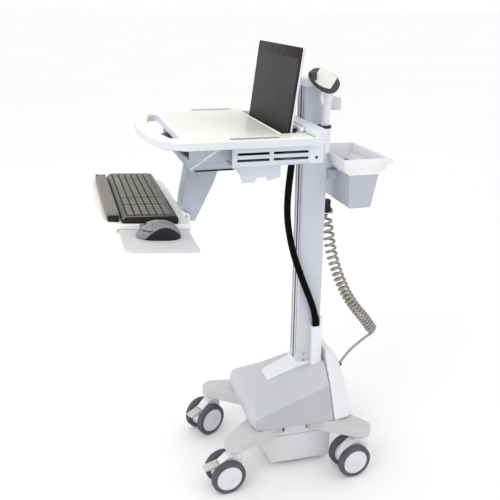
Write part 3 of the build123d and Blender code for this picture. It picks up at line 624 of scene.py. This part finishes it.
def keycaps():
    """Every key of the keyboard as its own tapered cap, and the floor of their well, painted near-black as
    the shade between the keys.
    """
    verts, faces = [], []
    pitch_y = (KEY_REAR - KEY_FRONT) / KEY_ROWS
    for row in range(KEY_ROWS):
        y0, y1 = KEY_FRONT + row * pitch_y + 1.3, KEY_FRONT + (row + 1) * pitch_y - 1.3
        top = 19 + row * 0.6
        for x0, x1, count in KEY_BLOCKS:
            stagger = (row % 3) * 3 if count == 15 else 0
            pitch = (x1 - x0) / count
            edges = [x0] + [x0 + pitch * i + stagger for i in range(1, count)] + [x1]
            if row == 0 and count == 15:
                edges = edges[:4] + edges[9:]
            for left, right in zip(edges, edges[1:]):
                a, b = left + 0.9, right - 0.9
                low = [(a + 0.7, y0, 14), (b - 0.7, y0, 14), (b - 0.7, y1, 14), (a + 0.7, y1, 14)]
                mid = [(a + 1.0, y0 + 0.3, top - 1.2), (b - 1.0, y0 + 0.3, top - 1.2),
                       (b - 1.0, y1 - 0.3, top - 1.2), (a + 1.0, y1 - 0.3, top - 1.2)]
                high = [(a + 2.6, y0 + 1.8, top), (b - 2.6, y0 + 1.8, top), (b - 2.6, y1 - 1.8, top),
                        (a + 2.6, y1 - 1.8, top)]
                points, sides = lofted([low, mid, high])
                faces += [tuple(i + len(verts) for i in face) for face in sides]
                verts += points
    keys = mesh_piece("keycaps", verts, faces, "key", "keys", TRAY, ["keyboard_keys"])
    # The well's floor is painted near-black as shade in the gaps between the keys.
    slab("key_gap_shade", (-213.5, 207.5), (KEY_FRONT, KEY_REAR), (10.4, 10.9), "well", "tray", TRAY, bevel=0.1)


def wrist_pad():
    """The long cloth pad in front of the keys, crowned and pinched at its ends."""
    rings = []
    for step in range(41):
        share = step / 40
        x = -205 + 410 * share
        from_end = min(share, 1 - share, 0.0625)
        swell = 0.55 + 0.45 * math.sin(math.pi * from_end * 8)
        ring = []
        for i in range(20):
            a = 2 * math.pi * i / 20
            across, height = math.cos(a), math.sin(a)
            y = -178.5 + 16.2 * swell * math.copysign(abs(across) ** 0.75, across)
            z = 9.2 + 8.6 * swell * math.copysign(abs(height) ** 0.8, height)
            ring.append((x, y, max(0.5, z)))
        rings.append(ring)
    verts, faces = lofted(rings)
    pad = mesh_piece("wrist_pad", verts, faces, "wrist", "tray", TRAY, ["wrist_rest"])
    for polygon in pad.data.polygons:
        polygon.use_smooth = True
    for side in (-1, 1):
        slab(f"pad_end_{'lr'[side > 0]}", sorted((side * 203, side * 208)), (-192, -165), (0.5, 15), "black",
             "tray", TRAY, bevel=2)


MOUSE_X = 275
MOUSE_FRONT, MOUSE_LENGTH = -135, 102
MOUSE_FLOOR = -12.7
BUTTON_REAR = -100


def mouse_section(share, low, high):
    """A section across the mouse at a share of its length, kept between two heights."""
    width = 31 * max(0.05, 1 - abs(2 * share - 1) ** 2.8) ** 0.5
    height = 37 * max(0.1, 1 - abs(2 * share - 1.04) ** 2.4) ** 0.6
    ring = []
    for i in range(49):
        a = math.pi * i / 48
        x = width * math.copysign(abs(math.cos(a)) ** 0.8, math.cos(a))
        z = MOUSE_FLOOR + height * math.sin(a) ** 0.8
        ring.append((MOUSE_X + x, MOUSE_FRONT + MOUSE_LENGTH * share, min(max(z, low), high)))
    return ring


def mouse_part(name, sections, body, node):
    """A stretch of the mouse, silver above and black within an arch on each side."""
    obj = mesh_piece(name, *lofted(sections), "mouse", body, TRAY, [node])
    obj.data.materials.append(M["black"])
    back = TRAY.inverted()
    for polygon in obj.data.polygons:
        centre = back @ polygon.center
        polygon.use_smooth = True
        arch = 15 - 27 * ((centre.y + 74) / 44) ** 2
        if centre.z < arch and abs(centre.x - MOUSE_X) > 12:
            polygon.material_index = 1


def mouse():
    """The palm, the two front buttons over their deck, and the wheel."""
    seam = (BUTTON_REAR - MOUSE_FRONT) / MOUSE_LENGTH
    palm = [seam + (0.992 - seam) * i / 48 for i in range(49)]
    front = [(seam - 0.005) * i / 24 for i in range(25)]
    deck = [mouse_section(0.012 + 0.95 * share, MOUSE_FLOOR, 7.1) for share in front]
    rear = [mouse_section(share, MOUSE_FLOOR, 60) for share in palm]
    mouse_part("mouse_palm", deck + rear, "mouse", "mouse_body")
    buttons = [mouse_section(0.1 + 0.69 * share, 8.2, 60) for share in front]
    mouse_part("mouse_front", buttons, "mouse_button_pair", "mouse_buttons")
    wheel = [(-2.2, 0.01), (-2.2, 6.4), (-1.2, 7.4), (1.2, 7.4), (2.2, 6.4), (2.2, 0.01)]
    lathed("mouse_wheel", wheel, "dark", "mouse", TRAY @ Matrix.Translation((MOUSE_X, -112, 11.5)), steps=32)


# ---- scanner and basket ----
SCANNER_X = 66
HEAD_CENTRE = Vector((SCANNER_X, -8, 1119))
HEAD_LONG = Vector((0.399, 0.778, -0.485)).normalized()
HEAD_FACING = Vector((0.762, 0.012, 0.646))
HEAD_HALF_LENGTH, HEAD_HALF_WIDTH = 42, 31


def scanner_head():
    """The lens-shaped head: a cream oval face with a dark rim, its long end dipping to the rear."""
    facing = (HEAD_FACING - HEAD_LONG * HEAD_FACING.dot(HEAD_LONG)).normalized()
    across = facing.cross(HEAD_LONG)
    rings = []
    for i in range(61):
        depth = -math.cos(math.pi * (0.03 + 0.94 * i / 60))
        size = (1 - abs(depth) ** 2.6) ** 0.45
        thick = 19 if depth < 0 else 12
        ring = []
        for k in range(120):
            a = 2 * math.pi * k / 120
            long = HEAD_HALF_LENGTH * size * math.cos(a)
            wide = (30 + 3 * math.cos(a)) * size * math.copysign(abs(math.sin(a)) ** 0.85, math.sin(a))
            ring.append(HEAD_CENTRE + HEAD_LONG * long + across * wide + facing * depth * thick)
        rings.append(ring)
    head = mesh_piece("scanner_head", *lofted(rings), "handle", "scanner")
    head.data.materials.append(M["dark"])
    head.data.materials.append(M["scanner"])
    for polygon in head.data.polygons:
        polygon.use_smooth = True
        centre = (polygon.center - ORIGIN) * 1000 - HEAD_CENTRE
        reach = math.hypot(centre.dot(HEAD_LONG) / HEAD_HALF_LENGTH, centre.dot(across) / HEAD_HALF_WIDTH)
        at_end = abs(centre.dot(HEAD_LONG)) > 25
        if centre.dot(facing) > 0 and reach < 0.87 and not at_end:
            polygon.material_index = 2
        elif centre.dot(facing) > -6:
            polygon.material_index = 1


def scanner():
    """The head, its handle, the dark nose with its window, and the ring on the holder."""
    scanner_head()
    rings = []
    for i in range(25):
        share = i / 24
        radius = 11 + 2.2 * share ** 2
        y = -3 + 10 * share ** 2
        rings.append([(SCANNER_X + radius * math.cos(a), y + radius * math.sin(a), 946 + 162 * share)
                      for a in [2 * math.pi * k / 32 for k in range(32)]])
    handle = mesh_piece("scanner_handle", *lofted(rings), "handle", "scanner", replaces=["scanner_shell"])
    for polygon in handle.data.polygons:
        polygon.use_smooth = len(polygon.vertices) == 4
    nose = []
    for y, width, height in ((-47, 14, 8), (-45, 16, 10), (-40, 17, 11), (-34, 16, 11)):
        nose.append([(SCANNER_X + width * math.copysign(abs(math.cos(a)) ** 0.5, math.cos(a)), y,
                      1131 + height * math.copysign(abs(math.sin(a)) ** 0.5, math.sin(a)))
                     for a in [2 * math.pi * k / 48 for k in range(48)]])
    mesh_piece("scanner_nose", *lofted(nose), "dark", "scanner", replaces=["scanner_bumper"], bevel=0.6)
    dress(frame["nodes"]["scanner_trigger"], "handle")
    slab("scan_window", (55, 77), (-47.8, -45), (1127, 1135), "black", "scanner", bevel=0.8)
    lathed("holder_ring", [(998, 17.6), (999, 18.6), (1004, 18.6), (1005, 17), (1005, 13)], "black", "base",
           placed(SCANNER_X, -3, 0) @ Matrix.Rotation(math.radians(-90), 4, "Y"))


def basket():
    """The tub with its white flared rim."""
    obj = refined("basket", "basket", 1.4)
    obj.data.materials.append(M["rim"])
    limit = at(0, 0, 879).z
    for polygon in obj.data.polygons:
        if polygon.center.z > limit:
            polygon.material_index = 1


# ---- CAD nodes that stay, and simple rounded ones ----
KEPT = {
    "chassis": "casting", "battery_pack": "black", "cord_gland": "black", "foot_screws": "steel",
    "lift_spring": "steel", "caster_stems": "steel", "arm_pin": "steel", "tray_pin": "steel",
    "cord_plug": "black", "mouse_tray": "box",
}
ROUNDED = {
    # The rear hood is dressed in white with painted shade.
    "worksurface": ("top", 1.6), "rear_hood": ("shaded_white", 1.5), "keyboard_tray": ("top", 1.2),
    "laptop_bay": ("sheet", 0.5), "arm_mount": ("mount", 1.0), "hook_bracket": ("sheet", 0.6),
    "keyboard_arm": ("arm", 1.6), "column": ("column", 0.5), "column_cap": ("white", 1.0),
    "column_plate": ("white", 0.8), "cable_cover": ("white", 0.9), "cord_hook": ("sheet", 0.5),
    "lift_carriage": ("sheet", 1.0), "laptop_base": ("bezel", 1.5), "screen_clip": ("top", 1.0),
    "keyboard_base": ("frame", 1.2), "lift_lever": ("dark", 1.0), "scanner_holder": ("handle", 0.8),
}
# The worksurface's upright faces take painted shade: a darker copy of its top's white.
SIDES = {"worksurface": "side", "keyboard_base": "black"}
MOULDED = {"front_legs": ("casting", 1.8, 2), "rear_legs": ("casting", 1.8, 2), "power_box": ("box", 2.2, 3)}


def side_faces(obj, key):
    """Dresses the upright faces of an object in a second material."""
    obj.data.materials.append(M[key])
    second = len(obj.data.materials) - 1
    for polygon in obj.data.polygons:
        if abs(polygon.normal.z) < 0.5:
            polygon.material_index = second


def column_grooves(column):
    """Paints shade into the insides of the column's front slot and its two grooves."""
    column.data.materials.append(M["groove"])
    for polygon in column.data.polygons:
        centre = (polygon.center - ORIGIN) * 1000
        if abs(centre.x) < 23 and -44.6 < centre.y < -33.5:
            polygon.material_index = 1


def grips():
    """The two grip strips, standing a little above the worksurface's edge."""
    obj = cad_copy("fine_grip_strips", "grip_strips")
    for vertex in obj.data.vertices:
        vertex.co.z += 0.0007
    finished(obj, "grip", "lift", ["grip_strips"], smooth=False)


def carried_over():
    for node, key in KEPT.items():
        dress(frame["nodes"][node], key)
    for node, (key, width) in ROUNDED.items():
        obj = refined(node, key, width)
        if node in SIDES:
            side_faces(obj, SIDES[node])
        if node == "column":
            column_grooves(obj)
    for node, (key, voxel, turns) in MOULDED.items():
        moulded_copy(node, key, voxel, turns)


# ---- stage ----
def lamp(name, place, aim, size, power):
    data = bpy.data.lights.new(name, "AREA")
    data.size = size
    data.energy = power
    obj = linked(name, data)
    obj.location = place
    obj.rotation_euler = (Vector(place) - Vector(aim)).to_track_quat("Z", "Y").to_euler()


def studio():
    """A pale floor, a pale sky and soft lamps."""
    mesh = bpy.data.meshes.new("floor")
    mesh.from_pydata([(-150, -150, 0), (150, -150, 0), (150, 150, 0), (-150, 150, 0)], [], [(0, 1, 2, 3)])
    floor = linked("floor", mesh)
    n = Nodes("floor_white")
    n.shader.inputs["Roughness"].default_value = 0.8
    n.link(n.ramp(n.noise(0.6), [(0.3, (0.965, 0.965, 0.965, 1)), (0.7, (0.985, 0.985, 0.985, 1))]),
           n.shader.inputs["Base Color"])
    floor.data.materials.append(n.material)
    world = bpy.data.worlds.new("studio")
    world.use_nodes = True
    world.node_tree.nodes["Background"].inputs["Color"].default_value = (1, 1, 1, 1)
    world.node_tree.nodes["Background"].inputs["Strength"].default_value = 1.0
    bpy.context.scene.world = world
    lamp("key", (1.6, -2.4, 3.4), (0, 0, 0.7), 1.8, 26)
    lamp("fill", (-2.2, -2.0, 2.2), (0, 0, 0.7), 2.2, 5)
    bpy.context.scene.view_settings.view_transform = "Standard"


camera()
curly_cord()
cable_sleeve()
housing()
base_trim()
casters()
carried_over()
grips()
top_detail()
laptop()
keycaps()
wrist_pad()
mouse()
scanner()
basket()
studio()
